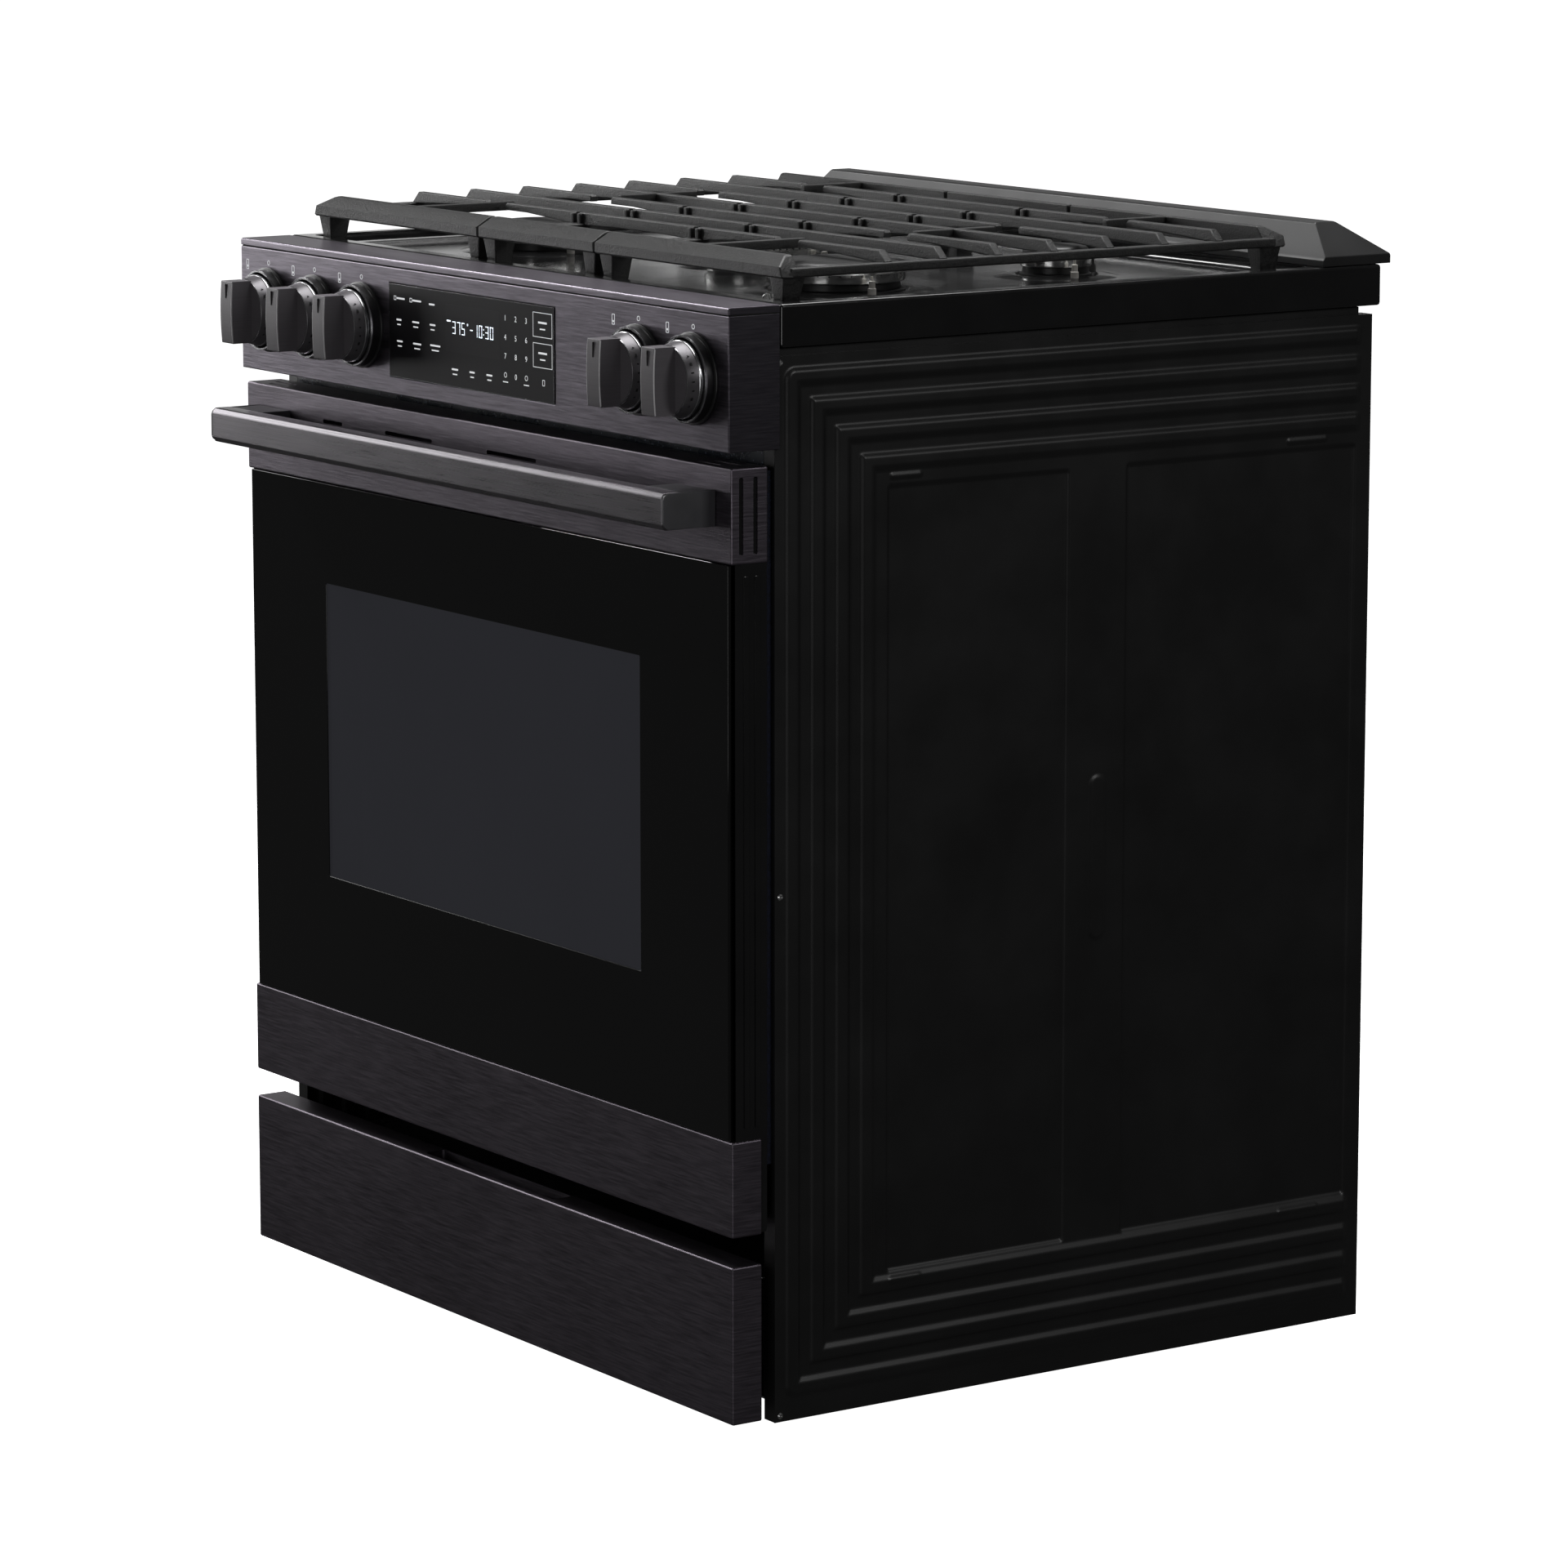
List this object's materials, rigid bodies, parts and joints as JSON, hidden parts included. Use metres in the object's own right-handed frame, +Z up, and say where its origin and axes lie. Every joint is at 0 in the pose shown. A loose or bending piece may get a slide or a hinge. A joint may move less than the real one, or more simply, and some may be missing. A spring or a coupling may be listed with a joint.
{
  "type": "slide-in gas range with front controls",
  "caption": "Slide-in kitchen gas range with cast-iron grates, front knobs and touch display, windowed oven door with bar handle, and storage drawer.",
  "frame": {"origin": "bottom centre of the bounding box, on the floor under the middle of the range", "axes": "+Z up, -Y out of the front, +X to the right of someone who stands in front"},
  "size_m": [0.761, 0.712, 0.9503],
  "materials": {
    "black_sheet": "satin black powder coat on pressed steel sheet",
    "dark_steel": "dark brushed stainless with a horizontal grain",
    "black_glass": "black backed tempered glass, polished",
    "window_glass": "clear heat resistant glass, grey",
    "cast_iron": "matt black textured enamel on cast iron",
    "black_enamel": "gloss black porcelain enamel on steel",
    "oven_enamel": "speckled blue-black porcelain enamel on steel",
    "aluminium": "machined aluminium",
    "bright_steel": "bright plated wire",
    "zinc_steel": "plain galvanised steel",
    "brass": "brass and steel gas tube",
    "glass_fibre": "braided glass fibre seal, dark blue",
    "black_plastic": "matt black nylon on a steel stud"
  },
  "bodies": {
    "cabinet": {"side_panel_left": "black_sheet", "side_panel_right": "black_sheet", "back_panel": "zinc_steel", "base_frame": "zinc_steel", "front_frame": "oven_enamel", "oven_cavity": "oven_enamel", "bake_burner": "zinc_steel", "broil_burner": "zinc_steel", "fan_cover": "oven_enamel", "fan_motor": "zinc_steel", "oven_gasket": "glass_fibre", "door_hinge_left": "zinc_steel", "door_hinge_right": "zinc_steel", "drawer_slide_left": "zinc_steel", "drawer_slide_right": "zinc_steel", "control_panel": "dark_steel", "display_glass": "black_glass", "gas_manifold": "brass", "cooktop": "black_enamel", "rear_trim": "black_enamel", "burner_left_front": "aluminium", "burner_left_rear": "aluminium", "burner_centre": "aluminium", "burner_right_front": "aluminium", "burner_right_rear": "aluminium"},
    "door": {"door_liner": "black_enamel", "door_top_band": "dark_steel", "door_bottom_band": "dark_steel", "door_glass": "black_glass", "inner_glass": "window_glass", "handle_bar": "dark_steel", "handle_post_left": "dark_steel", "handle_post_right": "dark_steel"},
    "drawer": {"drawer_front": "dark_steel", "drawer_box": "zinc_steel"},
    "rack_lower_body": {"rack_lower": "bright_steel"},
    "rack_upper_body": {"rack_upper": "bright_steel"},
    "fan": {"convection_fan": "zinc_steel"},
    "stem_body_1": {"knob_stem_1": "bright_steel"},
    "knob_body_1": {"knob_1": "dark_steel"},
    "stem_body_2": {"knob_stem_2": "bright_steel"},
    "knob_body_2": {"knob_2": "dark_steel"},
    "stem_body_3": {"knob_stem_3": "bright_steel"},
    "knob_body_3": {"knob_3": "dark_steel"},
    "stem_body_4": {"knob_stem_4": "bright_steel"},
    "knob_body_4": {"knob_4": "dark_steel"},
    "stem_body_5": {"knob_stem_5": "bright_steel"},
    "knob_body_5": {"knob_5": "dark_steel"},
    "cap_body_left_front": {"cap_left_front": "black_enamel"},
    "cap_body_left_rear": {"cap_left_rear": "black_enamel"},
    "cap_body_centre": {"cap_centre": "black_enamel"},
    "cap_body_right_front": {"cap_right_front": "black_enamel"},
    "cap_body_right_rear": {"cap_right_rear": "black_enamel"},
    "grate_body_left": {"grate_left": "cast_iron"},
    "grate_body_centre": {"grate_centre": "cast_iron"},
    "grate_body_right": {"grate_right": "cast_iron"},
    "foot_body_front_left": {"foot_front_left": "black_plastic"},
    "foot_body_rear_left": {"foot_rear_left": "black_plastic"},
    "foot_body_front_right": {"foot_front_right": "black_plastic"},
    "foot_body_rear_right": {"foot_rear_right": "black_plastic"}
  },
  "joints": [
    {"name": "door_hinge", "type": "hinge", "parent": "cabinet", "child": "door", "pos_m": [0, -0.285, 0.19], "axis": [1, 0, 0], "range_deg": [0, 90]},
    {"name": "drawer_slide", "type": "slide", "parent": "cabinet", "child": "drawer", "axis": [0, -1, 0], "range_m": [0, 0.42]},
    {"name": "rack_lower_slide", "type": "slide", "parent": "cabinet", "child": "rack_lower_body", "axis": [0, -1, 0], "range_m": [0, 0.05]},
    {"name": "rack_upper_slide", "type": "slide", "parent": "cabinet", "child": "rack_upper_body", "axis": [0, -1, 0], "range_m": [0, 0.05]},
    {"name": "fan_spin", "type": "hinge", "parent": "cabinet", "child": "fan", "pos_m": [0, 0.206, 0.5], "axis": [0, 1, 0], "continuous": true},
    {"name": "knob_1_push", "type": "slide", "parent": "cabinet", "child": "stem_body_1", "axis": [0, 1, 0], "range_m": [0, 0.003], "stiffness_N_per_m": 1200, "springref_m": -0.003},
    {"name": "knob_1_turn", "type": "hinge", "parent": "stem_body_1", "child": "knob_body_1", "pos_m": [-0.332, -0.306, 0.856], "axis": [0, -1, 0], "range_deg": [0, 240]},
    {"name": "knob_2_push", "type": "slide", "parent": "cabinet", "child": "stem_body_2", "axis": [0, 1, 0], "range_m": [0, 0.003], "stiffness_N_per_m": 1200, "springref_m": -0.003},
    {"name": "knob_2_turn", "type": "hinge", "parent": "stem_body_2", "child": "knob_body_2", "pos_m": [-0.2535, -0.306, 0.856], "axis": [0, -1, 0], "range_deg": [0, 240]},
    {"name": "knob_3_push", "type": "slide", "parent": "cabinet", "child": "stem_body_3", "axis": [0, 1, 0], "range_m": [0, 0.003], "stiffness_N_per_m": 1200, "springref_m": -0.003},
    {"name": "knob_3_turn", "type": "hinge", "parent": "stem_body_3", "child": "knob_body_3", "pos_m": [-0.175, -0.306, 0.856], "axis": [0, -1, 0], "range_deg": [0, 240]},
    {"name": "knob_4_push", "type": "slide", "parent": "cabinet", "child": "stem_body_4", "axis": [0, 1, 0], "range_m": [0, 0.003], "stiffness_N_per_m": 1200, "springref_m": -0.003},
    {"name": "knob_4_turn", "type": "hinge", "parent": "stem_body_4", "child": "knob_body_4", "pos_m": [0.253, -0.306, 0.856], "axis": [0, -1, 0], "range_deg": [0, 240]},
    {"name": "knob_5_push", "type": "slide", "parent": "cabinet", "child": "stem_body_5", "axis": [0, 1, 0], "range_m": [0, 0.003], "stiffness_N_per_m": 1200, "springref_m": -0.003},
    {"name": "knob_5_turn", "type": "hinge", "parent": "stem_body_5", "child": "knob_body_5", "pos_m": [0.331, -0.306, 0.856], "axis": [0, -1, 0], "range_deg": [0, 240]},
    {"name": "cap_left_front_lift", "type": "slide", "parent": "cabinet", "child": "cap_body_left_front", "axis": [0, 0, 1], "range_m": [0, 0.004]},
    {"name": "cap_left_rear_lift", "type": "slide", "parent": "cabinet", "child": "cap_body_left_rear", "axis": [0, 0, 1], "range_m": [0, 0.004]},
    {"name": "cap_centre_lift", "type": "slide", "parent": "cabinet", "child": "cap_body_centre", "axis": [0, 0, 1], "range_m": [0, 0.004]},
    {"name": "cap_right_front_lift", "type": "slide", "parent": "cabinet", "child": "cap_body_right_front", "axis": [0, 0, 1], "range_m": [0, 0.004]},
    {"name": "cap_right_rear_lift", "type": "slide", "parent": "cabinet", "child": "cap_body_right_rear", "axis": [0, 0, 1], "range_m": [0, 0.004]},
    {"name": "grate_left_lift", "type": "slide", "parent": "cabinet", "child": "grate_body_left", "axis": [0, 0, 1], "range_m": [0, 0.15]},
    {"name": "grate_centre_lift", "type": "slide", "parent": "cabinet", "child": "grate_body_centre", "axis": [0, 0, 1], "range_m": [0, 0.15]},
    {"name": "grate_right_lift", "type": "slide", "parent": "cabinet", "child": "grate_body_right", "axis": [0, 0, 1], "range_m": [0, 0.15]},
    {"name": "foot_front_left_thread", "type": "slide", "parent": "cabinet", "child": "foot_body_front_left", "axis": [0, 0, 1], "range_m": [-0.02, 0]},
    {"name": "foot_rear_left_thread", "type": "slide", "parent": "cabinet", "child": "foot_body_rear_left", "axis": [0, 0, 1], "range_m": [-0.02, 0]},
    {"name": "foot_front_right_thread", "type": "slide", "parent": "cabinet", "child": "foot_body_front_right", "axis": [0, 0, 1], "range_m": [-0.02, 0]},
    {"name": "foot_rear_right_thread", "type": "slide", "parent": "cabinet", "child": "foot_body_rear_right", "axis": [0, 0, 1], "range_m": [-0.02, 0]}
  ]
}
